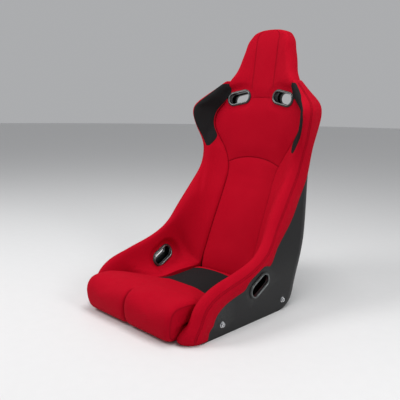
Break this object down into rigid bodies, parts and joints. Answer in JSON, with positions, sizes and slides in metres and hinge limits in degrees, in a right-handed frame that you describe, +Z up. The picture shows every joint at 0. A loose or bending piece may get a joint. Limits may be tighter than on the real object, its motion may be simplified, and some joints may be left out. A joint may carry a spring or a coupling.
{
  "type": "racing seat",
  "caption": "Fixed-back bucket racing seat with cloth upholstery on a composite shell, shoulder and hip harness slots, side bolt mounting and a lift-out seat cushion.",
  "frame": {"origin": "centre of the overall footprint, on the floor the seat stands on", "axes": "+Z up, the seat faces -Y, +X to the left of a driver sitting in it"},
  "size_m": [0.531, 0.6942, 0.919],
  "materials": {
    "cover_cloth": "fine woven red cloth, slight sheen",
    "insert_cloth": "charcoal ribbed cloth",
    "shell": "satin black moulded composite",
    "laminate": "unpainted dark laminate",
    "bezel": "dark grey moulded plastic with a satin lip",
    "zinc_steel": "zinc plated",
    "bright_steel": "bright plated",
    "tape": "black hook-and-loop tape"
  },
  "bodies": {
    "seat_shell": {"headrest_pad": "cover_cloth", "hip_bezel_inner_left": "bezel", "hip_bezel_inner_right": "bezel", "hip_bezel_outer_left": "bezel", "hip_bezel_outer_right": "bezel", "hip_bolster_left": "cover_cloth", "hip_bolster_right": "cover_cloth", "hook_tape": "tape", "inner_shell": "laminate", "lower_back_pad": "cover_cloth", "mount_nuts_left": "zinc_steel", "mount_nuts_right": "zinc_steel", "mount_plate_left": "zinc_steel", "mount_plate_right": "zinc_steel", "neck_bolster_left": "cover_cloth", "neck_bolster_right": "cover_cloth", "outer_shell": "shell", "shoulder_bezel_front_left": "bezel", "shoulder_bezel_front_right": "bezel", "shoulder_bezel_rear_left": "bezel", "shoulder_bezel_rear_right": "bezel", "shoulder_bolster_left": "cover_cloth", "shoulder_bolster_right": "cover_cloth", "shoulder_insert_left": "insert_cloth", "shoulder_insert_right": "insert_cloth", "side_bolts_left": "bright_steel", "side_bolts_right": "bright_steel", "side_washers_left": "bright_steel", "side_washers_right": "bright_steel", "thigh_bolster_left": "cover_cloth", "thigh_bolster_right": "cover_cloth", "upper_back_pad": "cover_cloth", "waist_bolster_left": "cover_cloth", "waist_bolster_right": "cover_cloth", "yoke_pad": "cover_cloth"},
    "seat_cushion": {"cushion_body": "cover_cloth", "cushion_insert": "insert_cloth", "cushion_roll_left": "cover_cloth", "cushion_roll_right": "cover_cloth", "loop_tape": "tape"}
  },
  "joints": [
    {"name": "cushion_lift", "type": "slide", "parent": "seat_shell", "child": "seat_cushion", "axis": [0, 0, 1], "range_m": [0, 0.25]}
  ]
}
